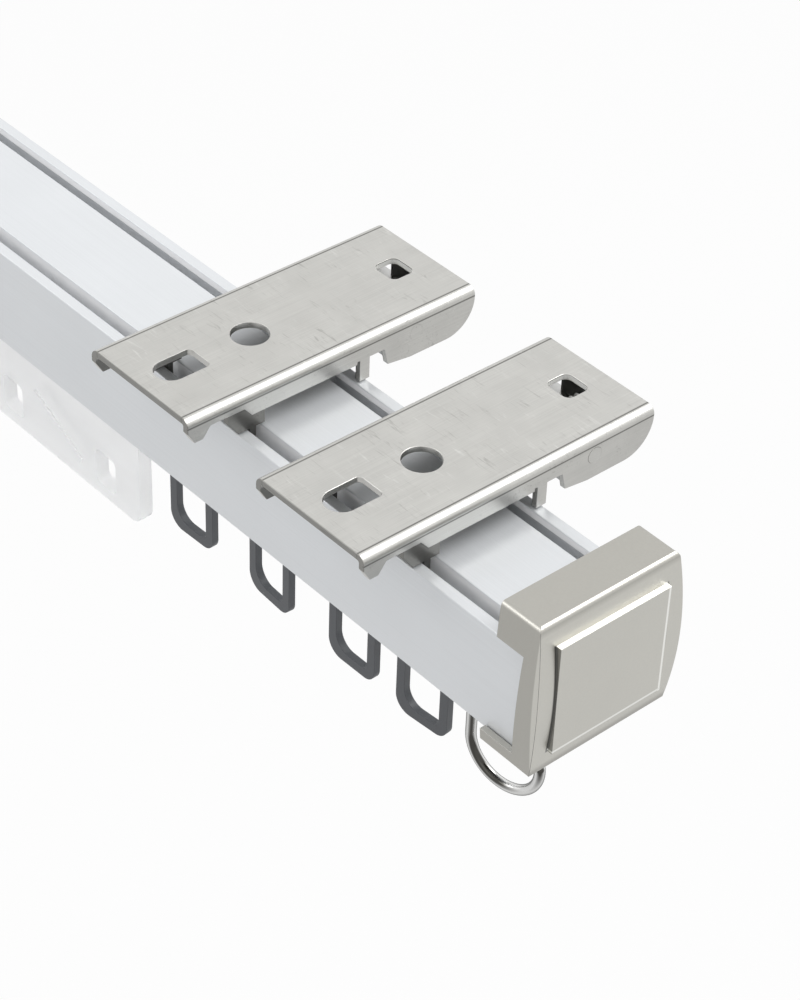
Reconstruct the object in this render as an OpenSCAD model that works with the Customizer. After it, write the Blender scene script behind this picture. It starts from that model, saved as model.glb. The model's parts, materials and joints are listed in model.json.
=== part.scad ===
// Curtain track with ceiling clip brackets, wheeled runners and end hooks.
// X runs along the track towards the right-hand end cap, Y from the room
// towards the wall, Z up. The ceiling is the plane Z = 0, and the origin is
// the screw hole of the right-hand bracket. The modules draw each piece with
// Y = 0 on the track's centre plane, and then move it back by centre_y.

/* [Track] */
// Length over both end caps, without their domed faces
track_len = 400; // [330:5:1500]
// From the right end of the track to the right-hand bracket's screw hole
bracket_from_end = 42.8; // [40:0.1:70]
// From the screw holes back to the track's centre plane
centre_y = 1.5; // [0:0.1:3]
// Spacing of the two brackets
bracket_pitch = 45.1; // [34:0.1:150]
// Clearance between pieces that slide past each other
slide_gap = 0.3; // [0.2:0.05:0.4]
// Radial clearance of a pin that turns in its hole
pin_gap = 0.05; // [0.02:0.01:0.1]

/* [Rail] */
// Height of the rail
rail_h = 20.8; // [19.5:0.1:26]
// Width over the top edges of the two side walls
rail_w = 27.4; // [26.6:0.1:31]
// How far each side wall bulges at mid height
side_bulge = 0.75; // [0.4:0.05:1.5]
// From the ceiling down to the top of the rail
rail_drop = 8.9; // [8.6:0.1:12]
// Thickness of the side walls
side_wall = 1.2; // [1:0.1:1.5]
// Width of the raised web between the two top grooves
web_w = 17.4; // [16:0.1:17.8]
// Thickness of the web's walls
web_wall = 1.3; // [1:0.1:1.6]
// Depth of the top grooves
groove_depth = 9.8; // [8.5:0.1:10.5]
// Thickness of the deck between the grooves and the channel
deck_t = 1.2; // [1:0.1:1.6]
// Thickness of the floor that the wheels roll on
floor_t = 1.5; // [1.2:0.1:2]
// Width of the slot in the floor
slot_w = 5; // [4.6:0.1:6]
// Width of the bead along the top of each side wall
bead_w = 2.2; // [1.8:0.1:2.4]
// Height of that bead
bead_h = 1.6; // [1.2:0.1:2.2]

/* [End caps] */
// Gap between an end cap and the ceiling
cap_drop = 0.3; // [0.1:0.1:1]
// Width of an end cap at its top
cap_w = 30; // [29.4:0.1:34]
// How far an end cap reaches below the rail
cap_below = 1.4; // [1:0.1:3]
// Length of the block above the rail
cap_top_len = 8.8; // [8:0.1:12]
// How far the block's overhanging sides stay above the rail's top
cap_lift = 1.6; // [0.5:0.1:2.2]
// Length of the skirt over the rail's side walls, at its bottom
cap_side_len = 4.1; // [3:0.1:6]
// Length of the skirt at its top
cap_side_top = 2.7; // [2.4:0.1:6]
// Length of the shelf under the rail
cap_bottom_len = 11.5; // [9:0.5:13]
// Height of the side edge of that shelf
cap_shelf_h = 2.3; // [1.8:0.1:4]
// Thickness of the end face
cap_face_t = 1.6; // [1.2:0.1:2.5]
// How far the end face domes out at mid height
cap_dome = 1.4; // [0.6:0.1:2]
// Thickness of the walls of the block above the rail
cap_block_wall = 2.3; // [2.1:0.1:2.8]
// Width of the raised panel on the end face
panel_w = 24; // [18:0.5:26]
// Height of the raised panel
panel_h = 22; // [16:0.5:25]
// How far the panel stands out beyond the dome
panel_proud = 0.35; // [0.2:0.05:1]
// Length of the plug inside the rail's upper chamber
plug_len = 8; // [5:0.5:12]
// Clearance between a cap and the rail
cap_fit = 0.12; // [0.05:0.01:0.2]

/* [Brackets] */
// Length of a bracket from front to back
bracket_len = 64; // [60:0.1:75]
// Width of a bracket along the track
bracket_w = 27; // [24:0.1:30]
// From the screw hole to the bracket's front edge
bracket_front = 23.8; // [22:0.1:27]
// Thickness of the bracket's sheet steel
sheet_t = 1.2; // [1:0.1:1.4]
// Outer radius of the bend between plate and side
bend_r = 1.6; // [1.4:0.1:2.4]
// Diameter of the screw hole
screw_d = 7; // [5:0.1:8]
// From the front edge to the middle of the adjusting slot
adjust_from_front = 8.4; // [8:0.1:10]
// Length of the adjusting slot
adjust_len = 9.4; // [8:0.1:11]
// Width of the adjusting slot
adjust_w = 6.1; // [4.5:0.1:7]
// Radius of the slot's two rear corners
adjust_r = 0.9; // [0.4:0.1:2]
// From the front edge to the middle of the sight hole
sight_from_front = 56.5; // [54:0.1:58]
// Length of the sight hole across the bracket
sight_len = 5.8; // [4:0.1:6]
// Width of the sight hole from front to back
sight_w = 5.2; // [3.5:0.1:5.5]
// Corner radius of the sight hole
sight_r = 1.4; // [0.5:0.1:1.7]
// Depth of the nose at the bracket's front
nose_depth = 5; // [4.4:0.1:6]
// Length of the nose
nose_len = 3.2; // [2.6:0.1:4]
// Depth of the side over the arch behind the nose
arch_depth = 2.9; // [2.4:0.1:3.6]
// From the front edge to the arch's rear end
arch_rear = 12; // [10:0.1:13]
// Depth of the side at mid length
waist_depth = 4.8; // [4:0.1:5.5]
// Depth of the side behind the rail
heel_depth = 8.4; // [8:0.1:10]
// Radius of the heel's rear corner
heel_r = 6.5; // [4:0.1:7]
// Thickness of a claw's shank
claw_t = 1.3; // [1:0.1:1.6]
// How far a claw hooks under the rail's bead
claw_reach = 0.9; // [0.6:0.1:1]
// Height of a claw's hook
claw_h = 1.4; // [1:0.1:2]

/* [Latch] */
// How far the latch slides to let go of the rail
latch_travel = 1.2; // [1:0.1:1.3]
// Height of the room for pin and spring, between plate and latch
latch_room = 5; // [4.8:0.1:5.2]
// Thickness of the latch's sheet steel
latch_t = 1; // [0.8:0.1:1.2]
// Width of the latch's tooth
tooth_w = 14; // [8:0.5:18]
// Diameter of the latch pin
latch_pin_d = 3; // [2.5:0.1:3.2]
// From the track's centre plane back to the latch pin
latch_pin_y = 25; // [24:0.1:27]
// Length of the latch spring as fitted
spring_len = 9.2; // [8.8:0.1:10]
// Outer diameter of the latch spring
spring_d = 2.8; // [2.4:0.1:3]
// Diameter of the spring's wire
spring_wire = 0.5; // [0.4:0.05:0.6]
// Number of curls in the spring
spring_curls = 6; // [4:1:6]

/* [Runners] */
// Distance of runners 1 and 2 from the right end of the track
runner_1_from_end = 107; // [104:0.5:112]
runner_2_from_end = 83.5; // [80:0.5:88]
// Distance of runners 3 and 4 from the right end of the track
runner_3_from_end = 60; // [57:0.5:64]
runner_4_from_end = 41; // [40.5:0.1:43]
// Length of a runner's body
runner_len = 12; // [10:0.5:12.4]
// Free height above a wheel in the channel
headroom = 0.9; // [0.5:0.1:1.5]
// Thickness of a wheel
wheel_t = 2.6; // [2:0.1:3]
// Free width between a wheel and the channel's wall
wheel_side_gap = 1.1; // [0.9:0.1:1.4]
// Diameter of a runner's axle
axle_d = 2; // [1.6:0.1:2.4]
// Diameter of an axle's head
axle_head_d = 3.2; // [2.8:0.1:3.6]
// Thickness of an axle's head
axle_head_t = 0.4; // [0.3:0.05:0.5]
// How far a runner's stem reaches below the rail
stem_below = 3.4; // [2.5:0.1:5]
// Length of the stem along the track
stem_len = 8; // [6:0.5:9]
// Diameter of the ring's neck
neck_d = 2.4; // [2:0.1:2.6]
// Diameter of the head that keeps the neck in the body
neck_head_d = 4; // [3.4:0.1:4.4]
// Thickness of that head
neck_head_t = 1; // [0.8:0.1:1.1]
// Visible length of the neck between stem and ring
neck_len = 3.4; // [2:0.1:5]
// Width of a ring
ring_w = 12.4; // [10:0.1:12.8]
// Height of a ring
ring_h = 21.5; // [16:0.1:25]
// Thickness of a ring
ring_t = 1.5; // [1.4:0.1:2.2]
// Width of the bar that a ring is made of
ring_bar = 2; // [1.6:0.1:2.8]
// Outer radius of three of a ring's corners
ring_r = 2.6; // [2:0.1:3.6]
// Radius of the same corners of its opening
ring_eye_r = 1.3; // [0.8:0.1:2]
// Radius of a ring's fourth corner, inside and outside
ring_low_r = 3.5; // [2.4:0.1:4]

/* [Lead carrier] */
// Distance of the lead carrier from the right end of the track
carrier_from_end = 165.2; // [164:0.2:172]
// Length of the carrier's body
carrier_len = 62; // [58:1:70]
// Length of the hanging plate
hanger_len = 85.4; // [82:0.2:87]
// How far the hanging plate reaches below the rail
hanger_below = 35; // [25:0.5:45]
// Thickness of the hanging plate
hanger_t = 3; // [2:0.1:3.6]
// Length of the hanging plate's tongue inside the body
tongue_len = 30; // [20:1:36]
// Distance between the carrier's two axles
carrier_wheelbase = 50; // [48:0.5:52]
// Spacing of the three hook windows in the plate
window_pitch = 31.6; // [26:0.2:34]
// Width of a hook window
window_w = 6.5; // [5:0.1:9]
// Height of a hook window
window_h = 8; // [5:0.1:12]
// Bar of plastic under the hook windows
window_bar = 2.6; // [2:0.1:4]
// Diameter of the rivets that hold the plate
rivet_d = 2; // [1.6:0.1:2.4]

/* [End stops] */
// From the end of the track to the hook in the end stop
hook_from_end = 28.9; // [28:0.1:29]
// Length of the end stop
stop_len = 10.5; // [10:0.1:11]
// From the hook to the end stop's inner end
stop_inner = 3; // [2.8:0.1:3.2]
// Diameter of the clamping screw
clamp_d = 4; // [3:0.1:4]
// From the hook to the clamping screw
clamp_from_hook = 4.3; // [4.1:0.1:4.6]
// Length of the clamping screw
clamp_len = 7; // [5:0.1:8]
// Diameter of the hook's wire
hook_wire = 2; // [1.2:0.1:2.2]
// Radius of the hook's bend, to the middle of the wire
hook_r = 7.6; // [5:0.1:8]
// From the rail's underside down to the middle of the bend
hook_drop = 21.5; // [14:0.1:28]
// Straight end after the bend
hook_tip = 0.8; // [0.4:0.1:4]
// How far each hook is turned out of the track's line at rest
hook_turn = 8; // [0:1:15]

/* [Hidden] */

$fn = 64;
// Segments of the long, shallow arcs of the side walls and domes
arc_fn = 720;
// Cuts run this far past a face
over = 1;

aluminium = [0.80, 0.82, 0.84];
nickel = [0.70, 0.68, 0.65];
satin_steel = [0.74, 0.74, 0.72];
spring_steel = [0.45, 0.46, 0.48];
dark_grey = [0.30, 0.31, 0.33];
white_acetal = [0.90, 0.90, 0.88];
frosted = [0.88, 0.90, 0.91, 0.6];
bright_chrome = [0.85, 0.86, 0.88];

// Both ends of the track, and of the rail inside its caps
x_right = bracket_from_end;
x_left = bracket_from_end - track_len;
rail_end = cap_face_t + cap_fit;

// Heights of the rail's section
rail_top = -rail_drop;
rail_bottom = rail_top - rail_h;
deck_top = rail_top - groove_depth;
channel_top = deck_top - deck_t;
channel_floor = rail_bottom + floor_t;
channel_h = channel_top - channel_floor;
channel_w = web_w - 2 * web_wall;
bead_inner = rail_w / 2 - bead_w;

// End caps
cap_top = -cap_drop;
cap_bottom = rail_bottom - cap_below;
cap_h = cap_top - cap_bottom;
cap_mid = (cap_top + cap_bottom) / 2;
dome_r = (pow(cap_h / 2, 2) + pow(cap_dome, 2)) / (2 * cap_dome);
panel_depth = 1;
cap_roof = 1.5;

// Brackets, measured from the track's centre plane
bracket_x = [0, -bracket_pitch, 0];
front_y = -centre_y - bracket_front;
rear_y = front_y + bracket_len;
side_x = bracket_w / 2;
inner_x = side_x - sheet_t;
seat_z = rail_top + slide_gap;
claw_outer = bead_inner - slide_gap;
claw_inner = claw_outer - claw_t;
claw_top = rail_top - bead_h - slide_gap;
claw_shoulder = 2.2;
claw_shoulder_depth = 5.8;
nose_slant = 1.4;
arch_slant = 1.6;
claw_rear = web_w / 2 - 0.7;
foot_w = 2.2;
foot_notch = 0.6;
notch_z = -(waist_depth - 0.6);
heel_step = 3.4;

// Latch, measured from the track's centre plane
latch_pin_z = -(sheet_t + latch_room / 2);
latch_top = -(sheet_t + latch_room);
spring_mid_z = latch_top + slide_gap + spring_d / 2;
latch_bottom = latch_top - latch_t;
latch_w = 2 * inner_x - 4 * slide_gap;
latch_slot = latch_pin_d + 2 * slide_gap;
latch_ear_front = latch_pin_y - 6;
latch_ear_rear = latch_pin_y + 6;
tooth_y = bead_inner - slide_gap - latch_t;
upstand_y = latch_pin_y + latch_pin_d / 2 + spring_len;

// Runners
runner_x = [0, x_right - runner_1_from_end, x_right - runner_2_from_end,
    x_right - runner_3_from_end, x_right - runner_4_from_end];
ring_turn = [0, 2, -3, 1, 5];
wheel_r = (channel_h - headroom) / 2;
axle_z = channel_floor + wheel_r;
wheel_outer = channel_w / 2 - wheel_side_gap;
wheel_inner = wheel_outer - wheel_t;
body_w = 2 * (wheel_inner - slide_gap);
body_bottom = channel_floor + slide_gap;
body_top = channel_top - 2 * slide_gap;
stem_w = slot_w - 2 * slide_gap;
stem_bottom = rail_bottom - stem_below;
body_round = 1.2;
neck_room = 0.2;
neck_top = axle_z - axle_d / 2 - 0.5;
ring_top = stem_bottom - neck_len;
ring_mid = ring_top - ring_h / 2;
wheel_groove = 0.5;

// Lead carrier
carrier_x = x_right - carrier_from_end;
hanger_bottom = rail_bottom - hanger_below;
hanger_shoulder = rail_bottom - 1.5;
hanger_r = 2.5;
tongue_top = axle_z + 0.5;
tongue_z = (tongue_top + body_bottom) / 2;
rivet_pitch = tongue_len * 0.6;
window_z = hanger_bottom + window_bar + window_h / 2;
window_r = 1.2;
rib_w = 1.6;
rib_proud = 0.5;
rib_len = 0.55 * window_pitch;
rib_tilt = 27;
rib_z = window_z + 2;

// End stops, measured from the track's end
stop_w = channel_w - 2 * slide_gap;
stop_top = channel_top - slide_gap;
stop_from_end = hook_from_end + stop_inner;
hook_head_d = hook_wire + 1.5;
hook_head_t = 0.8;
hook_head_z = stop_top - hook_head_t - 0.6;
clamp_hex = clamp_d / 2;
clamp_hex_depth = 2;

// Extrudes a flat shape drawn as Y across and Z up, from x0 to x1
module along_x(x0, x1) {
    translate([x0, 0, 0]) rotate([90, 0, 90]) linear_extrude(x1 - x0) children();
}

// Extrudes a flat shape drawn as X across and Z up, from y0 to y1
module along_y(y0, y1) {
    translate([0, y1, 0]) rotate([90, 0, 0]) linear_extrude(y1 - y0) children();
}

// A round bar along X, Y or Z between two positions
module rod_x(d, x0, x1) translate([x0, 0, 0]) rotate([0, 90, 0]) cylinder(d = d, h = x1 - x0);
module rod_y(d, y0, y1) translate([0, y1, 0]) rotate([90, 0, 0]) cylinder(d = d, h = y1 - y0);
module rod_z(d, z0, z1) translate([0, 0, z0]) cylinder(d = d, h = z1 - z0);

// A block given by its lowest and highest corners
module block(low, high) translate(low) cube(high - low);

// A flat rectangle with round corners, centred
module rounded_rect(w, h, r) {
    square([w - 2 * r, h], center = true);
    square([w, h - 2 * r], center = true);
    for (sx = [-1, 1], sy = [-1, 1])
        translate([sx * (w / 2 - r), sy * (h / 2 - r)]) circle(r);
}

// An upright outline whose two sides bulge by the same depth
module bulged_outline(w, low, high, bulge) {
    half = (high - low) / 2;
    r = (half * half + bulge * bulge) / (2 * bulge);
    away = w / 2 + bulge - r;
    intersection() {
        translate([-w / 2 - bulge, low]) square([w + 2 * bulge, high - low]);
        translate([away, (low + high) / 2]) circle(r, $fn = arc_fn);
        translate([-away, (low + high) / 2]) circle(r, $fn = arc_fn);
    }
}

// The rail's outline, grown by a fit
module rail_outline(grow) {
    bulged_outline(rail_w + 2 * grow, rail_bottom - grow, rail_top + grow, side_bulge);
}

// Places a piece at the right end (1) or mirrored at the left end (-1),
// with x = 0 at the end of the track and the track on the minus side
module at_end(side) {
    if (side > 0) translate([x_right, centre_y, 0]) children();
    else translate([x_left, centre_y, 0]) mirror([1, 0, 0]) children();
}

// One of the two top grooves, with the lip of its bead
module groove_2d() {
    intersection() {
        bulged_outline(rail_w - 2 * side_wall, rail_bottom, rail_top, side_bulge);
        translate([web_w / 2, deck_top]) square([rail_w, groove_depth - bead_h]);
    }
    translate([web_w / 2, deck_top]) square([bead_inner - web_w / 2, groove_depth + over]);
}

// One of the two closed chambers beside the channel
module side_chamber_2d() {
    intersection() {
        bulged_outline(rail_w - 2 * side_wall, rail_bottom, rail_top, side_bulge);
        translate([web_w / 2, channel_floor]) square([rail_w, channel_h]);
    }
}

module rail() {
    color(aluminium) translate([0, centre_y, 0])
    along_x(x_left + rail_end, x_right - rail_end) difference() {
        rail_outline(0);
        groove_2d();
        mirror([1, 0]) groove_2d();
        side_chamber_2d();
        mirror([1, 0]) side_chamber_2d();
        translate([-channel_w / 2, deck_top]) square([channel_w, groove_depth - web_wall]);
        translate([-channel_w / 2, channel_floor]) square([channel_w, channel_h]);
        translate([-slot_w / 2, rail_bottom - over]) square([slot_w, floor_t + 2 * over]);
    }
}

// Space that an end cap fills: the block on top, the skirts and the shelf
module cap_reach() {
    wide = cap_w;
    overhang = rail_top + cap_lift;
    block([-cap_top_len, -rail_w / 2, rail_top], [cap_dome, rail_w / 2, cap_top]);
    block([-cap_top_len, -wide, overhang], [cap_dome, wide, cap_top]);
    block([-cap_bottom_len, -wide, cap_bottom], [cap_dome, wide, cap_bottom + cap_shelf_h]);
    along_y(-wide, wide) polygon([[cap_dome, cap_bottom], [cap_dome, cap_top],
        [-cap_side_top, cap_top], [-cap_side_top, overhang], [-cap_side_len, cap_bottom]]);
}

module end_cap(side) {
    hollow_w = cap_w - 2 * cap_block_wall;
    plug_w = channel_w - 2 * cap_fit;
    color(nickel) at_end(side) {
        difference() {
            intersection() {
                along_x(-cap_bottom_len, cap_dome)
                    bulged_outline(cap_w, cap_bottom, cap_top, side_bulge);
                translate([cap_dome - dome_r, 0, cap_mid]) rotate([90, 0, 0])
                    cylinder(r = dome_r, h = 2 * cap_w, center = true, $fn = arc_fn);
                cap_reach();
            }
            along_x(-cap_bottom_len - over, -cap_face_t) rail_outline(cap_fit);
            block([-cap_top_len - over, -hollow_w / 2, rail_top - over],
                [-cap_face_t, hollow_w / 2, cap_top - cap_roof]);
            block([-cap_bottom_len - over, -slot_w / 2, cap_bottom - over],
                [-cap_side_len, slot_w / 2, rail_bottom + over]);
        }
        block([-panel_depth, -panel_w / 2, cap_mid - panel_h / 2],
            [cap_dome + panel_proud, panel_w / 2, cap_mid + panel_h / 2]);
        block([-cap_face_t - plug_len, -plug_w / 2, deck_top + cap_fit],
            [-cap_face_t, plug_w / 2, rail_top - web_wall - cap_fit]);
    }
}

// Section of the bracket's bent sheet: plate on top, a side down each edge
module bracket_section() {
    difference() {
        folded_outline(side_x, 0, bend_r);
        folded_outline(inner_x, -sheet_t, bend_r - sheet_t);
    }
}

// A flat shape with two round top corners that runs down past the bracket
module folded_outline(half, top, r) {
    low = claw_top - claw_h - over;
    translate([-half, low]) square([2 * half, top - r - low]);
    translate([-half + r, low]) square([2 * (half - r), top - low]);
    for (s = [-1, 1]) translate([s * (half - r), top - r]) circle(r);
}

// Outline of the bracket's side, drawn as Y across and Z up
module side_outline() {
    foot_front = bead_inner + foot_notch;
    foot_rear = foot_front + foot_w;
    heel_front = foot_rear + heel_step;
    polygon([[front_y, over], [front_y, -sheet_t - nose_slant], [front_y + nose_slant, -nose_depth],
        [front_y + nose_len, -nose_depth], [front_y + nose_len + arch_slant, -arch_depth],
        [front_y + arch_rear, -arch_depth], [front_y + arch_rear + arch_slant, -waist_depth],
        [foot_front - foot_notch, -waist_depth], [foot_front - foot_notch, notch_z],
        [foot_front, notch_z], [foot_front, seat_z], [foot_rear, seat_z], [foot_rear, notch_z],
        [heel_front, notch_z], [heel_front + 0.8, -heel_depth + 0.7], [heel_front + 6, -heel_depth],
        [rear_y - heel_r, -heel_depth], [rear_y - heel_r, over]]);
    intersection() {
        translate([rear_y - heel_r, heel_r - heel_depth]) circle(heel_r);
        translate([rear_y - heel_r, -heel_depth]) square([heel_r, heel_r]);
    }
    translate([rear_y - heel_r, heel_r - heel_depth]) square([heel_r, heel_depth - heel_r + over]);
}

// Front claw: a shoulder that seats on the rail and a hook under its bead
module claw_outline() {
    front = -(rail_w / 2 + claw_shoulder);
    polygon([[front, -sheet_t / 2], [front, -claw_shoulder_depth], [-(rail_w / 2), seat_z],
        [-claw_outer, seat_z], [-claw_outer, claw_top], [-claw_outer - claw_reach, claw_top],
        [-claw_outer - claw_reach, claw_top - claw_h], [-claw_inner, claw_top - claw_h],
        [-claw_inner, seat_z], [-claw_rear, seat_z], [-claw_rear, -sheet_t / 2]]);
}

module bracket_plate(i) {
    color(satin_steel) translate([bracket_x[i], centre_y, 0]) {
        difference() {
            intersection() {
                along_y(front_y, rear_y) bracket_section();
                along_x(-side_x - over, side_x + over) side_outline();
            }
            translate([0, -centre_y, 0]) rod_z(screw_d, -sheet_t - over, over);
            translate([0, front_y + adjust_from_front, -sheet_t - over])
                linear_extrude(sheet_t + 2 * over) adjusting_slot();
            translate([0, front_y + sight_from_front, -sheet_t - over])
                linear_extrude(sheet_t + 2 * over) rounded_rect(sight_len, sight_w, sight_r);
            translate([0, latch_pin_y, latch_pin_z]) rod_x(latch_pin_d, -side_x - over, side_x + over);
        }
        for (s = [-1, 1]) translate([s * (inner_x - sheet_t / 2), 0, 0])
            along_x(-sheet_t / 2, sheet_t / 2) claw_outline();
    }
}

// Slot with one round end at the front and rounded corners at the back
module adjusting_slot() {
    r = adjust_w / 2;
    front = r - adjust_len / 2;
    back = adjust_len / 2 - adjust_r;
    translate([0, front]) circle(r);
    translate([-r, front]) square([adjust_w, back - front]);
    translate([adjust_r - r, back - over]) square([adjust_w - 2 * adjust_r, adjust_r + over]);
    for (s = [-1, 1]) translate([s * (r - adjust_r), back]) circle(adjust_r);
}

module bracket_latch_pin(i) {
    color(spring_steel) translate([bracket_x[i], centre_y + latch_pin_y, latch_pin_z])
        rod_x(latch_pin_d, -side_x, side_x);
}

// Latch: a tray with two slotted ears, an upstand for the spring at its rear
// and a tooth at its front that hooks under the rail's rear bead
module bracket_latch(i) {
    ear_x = latch_w / 2;
    ear_top = -sheet_t - slide_gap;
    tooth_bottom = claw_top - claw_h;
    color(satin_steel) translate([bracket_x[i], centre_y, 0]) {
        block([-ear_x, latch_ear_front, latch_bottom], [ear_x, upstand_y + latch_t, latch_top]);
        block([-tooth_w / 2, tooth_y, latch_bottom], [tooth_w / 2, latch_ear_front, latch_top]);
        block([-tooth_w / 2, tooth_y, tooth_bottom], [tooth_w / 2, tooth_y + latch_t, latch_top]);
        block([-tooth_w / 2, tooth_y, tooth_bottom],
            [tooth_w / 2, tooth_y + latch_t + claw_reach, claw_top]);
        block([-ear_x / 2, upstand_y, latch_bottom], [ear_x / 2, upstand_y + latch_t, ear_top]);
        for (s = [-1, 1]) difference() {
            block([s * (ear_x - latch_t / 2) - latch_t / 2, latch_ear_front, latch_bottom],
                [s * (ear_x - latch_t / 2) + latch_t / 2, latch_ear_rear, ear_top]);
            for (y = [latch_pin_y - pin_gap, latch_pin_y + latch_travel + pin_gap])
                translate([0, y, latch_pin_z]) rod_x(latch_pin_d + 2 * pin_gap, -side_x, side_x);
            block([-side_x, latch_pin_y - pin_gap, latch_pin_z - latch_pin_d / 2 - pin_gap],
                [side_x, latch_pin_y + latch_travel + pin_gap, latch_pin_z + latch_pin_d / 2 + pin_gap]);
        }
    }
}

// Helix of the latch spring: rings of six points, eight rings to a curl, with
// one more ring at each end where the wire runs on straight
rings_per_curl = 8;
wire_sides = 6;
coil_r = (spring_d - spring_wire) / 2;
coil_pitch = (spring_len - 2 * slide_gap - spring_wire) / spring_curls;
coil_start = latch_pin_y + latch_pin_d / 2 + slide_gap + spring_wire / 2;
coil_rings = rings_per_curl * spring_curls;
coil_last = coil_rings + 2;
function coil_angle(k) = 360 * k / rings_per_curl;
function coil_centre(k) = [coil_r * cos(coil_angle(k)),
    coil_start + coil_pitch * k / rings_per_curl, coil_r * sin(coil_angle(k))];
function coil_ring(k, c, j) = c
    + spring_wire / 2 * cos(360 * j / wire_sides) * [cos(coil_angle(k)), 0, sin(coil_angle(k))]
    + spring_wire / 2 * sin(360 * j / wire_sides) * [0, 1, 0];
function coil_turned(k, m) =
    m == 0 ? coil_centre(0) + [0, 0, -spring_wire]
    : m == coil_last ? coil_centre(coil_rings) + [0, 0, spring_wire]
    : coil_centre(k);
function coil_point(m, j) =
    let (k = min(max(m - 1, 0), coil_rings)) coil_ring(k, coil_turned(k, m), j);
coil_points = [for (m = [0:coil_last], j = [0:wire_sides - 1]) coil_point(m, j)];
function coil_index(m, j) = m * wire_sides + j % wire_sides;
coil_faces = concat(
    [for (j = [1:wire_sides - 2]) [coil_index(0, 0), coil_index(0, j), coil_index(0, j + 1)]],
    [for (j = [1:wire_sides - 2])
        [coil_index(coil_last, 0), coil_index(coil_last, j + 1), coil_index(coil_last, j)]],
    [for (m = [0:coil_last - 1], j = [0:wire_sides - 1])
        [coil_index(m, j + 1), coil_index(m, j), coil_index(m + 1, j)]],
    [for (m = [0:coil_last - 1], j = [0:wire_sides - 1])
        [coil_index(m, j + 1), coil_index(m + 1, j), coil_index(m + 1, j + 1)]]);
coil_gap = min([for (a = [0:coil_last], b = [0:coil_last])
    if (b - a >= rings_per_curl - 1)
        for (i = [0:wire_sides - 1], j = [0:wire_sides - 1])
            norm(coil_point(a, i) - coil_point(b, j))]);
echo("least gap between the curls of the latch spring, in mm", coil_gap);

module bracket_spring(i) {
    color(spring_steel) translate([bracket_x[i], centre_y, spring_mid_z])
        polyhedron(points = coil_points, faces = coil_faces, convexity = 10);
}

// Body of a runner: a block between the wheels and a stem through the slot
module runner_body(i) {
    color(white_acetal) translate([runner_x[i], centre_y, 0]) difference() {
        union() {
            along_y(-body_w / 2, body_w / 2) translate([0, (body_top + body_bottom) / 2])
                rounded_rect(runner_len, body_top - body_bottom, body_round);
            block([-stem_len / 2, -stem_w / 2, stem_bottom], [stem_len / 2, stem_w / 2, axle_z]);
        }
        translate([0, 0, axle_z]) rod_y(axle_d + 2 * pin_gap, -body_w, body_w);
        rod_z(neck_d + 2 * pin_gap, stem_bottom - over, neck_top);
        rod_z(neck_head_d + 2 * pin_gap, neck_top - neck_head_t - neck_room, neck_top);
    }
}

// Axle that turns in the body, with a small head outside each wheel
module axle(x) {
    half = wheel_outer;
    color(bright_chrome) translate([x, centre_y, axle_z]) {
        rod_y(axle_d, -half, half);
        for (s = [-1, 1]) rod_y(axle_head_d, s * (half + axle_head_t / 2) - axle_head_t / 2,
            s * (half + axle_head_t / 2) + axle_head_t / 2);
    }
}

// Wheel pressed on its axle, on the front (-1) or back (1) side of a body
module wheel(x, side) {
    mid = side * (wheel_inner + wheel_t / 2);
    color(white_acetal) translate([x, centre_y + mid, axle_z]) rotate([90, 0, 0]) difference() {
        cylinder(r = wheel_r, h = wheel_t, center = true);
        cylinder(d = axle_d, h = wheel_t + 2 * over, center = true);
        for (s = [-1, 1]) translate([0, 0, s * wheel_t / 2]) difference() {
            cylinder(r = wheel_r - wheel_groove * 2, h = wheel_groove * 2, center = true);
            cylinder(d = axle_d + 4 * wheel_groove, h = wheel_groove * 4, center = true);
        }
    }
}

// A rectangle with three corners of radius r and a rounder lower left one
module eye_outline(w, h, r) {
    difference() {
        rounded_rect(w, h, r);
        translate([-w / 2 - over, -h / 2 - over]) square(ring_low_r + over);
    }
    translate([ring_low_r - w / 2, ring_low_r - h / 2]) circle(ring_low_r);
}

// Ring with a neck whose head turns inside the runner's body
module runner_ring(i) {
    color(dark_grey) translate([runner_x[i], centre_y, 0]) rotate([0, 0, ring_turn[i]]) {
        along_y(-ring_t / 2, ring_t / 2) translate([0, ring_mid]) difference() {
            eye_outline(ring_w, ring_h, ring_r);
            eye_outline(ring_w - 2 * ring_bar, ring_h - 2 * ring_bar, ring_eye_r);
        }
        rod_z(neck_d, ring_top - ring_bar / 2, neck_top - neck_room / 2);
        rod_z(neck_head_d, neck_top - neck_room / 2 - neck_head_t, neck_top - neck_room / 2);
    }
}

module lead_carrier_body() {
    color(white_acetal) translate([carrier_x, centre_y, 0]) difference() {
        along_y(-body_w / 2, body_w / 2) translate([0, (body_top + body_bottom) / 2])
            rounded_rect(carrier_len, body_top - body_bottom, body_round);
        for (s = [-1, 1]) {
            translate([s * carrier_wheelbase / 2, 0, axle_z])
                rod_y(axle_d + 2 * pin_gap, -body_w, body_w);
            translate([s * rivet_pitch / 2, 0, tongue_z]) rod_y(rivet_d, -body_w, body_w);
        }
        block([-tongue_len / 2 - slide_gap, -hanger_t / 2 - pin_gap, body_bottom - over],
            [tongue_len / 2 + slide_gap, hanger_t / 2 + pin_gap, tongue_top + slide_gap]);
    }
}

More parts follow.
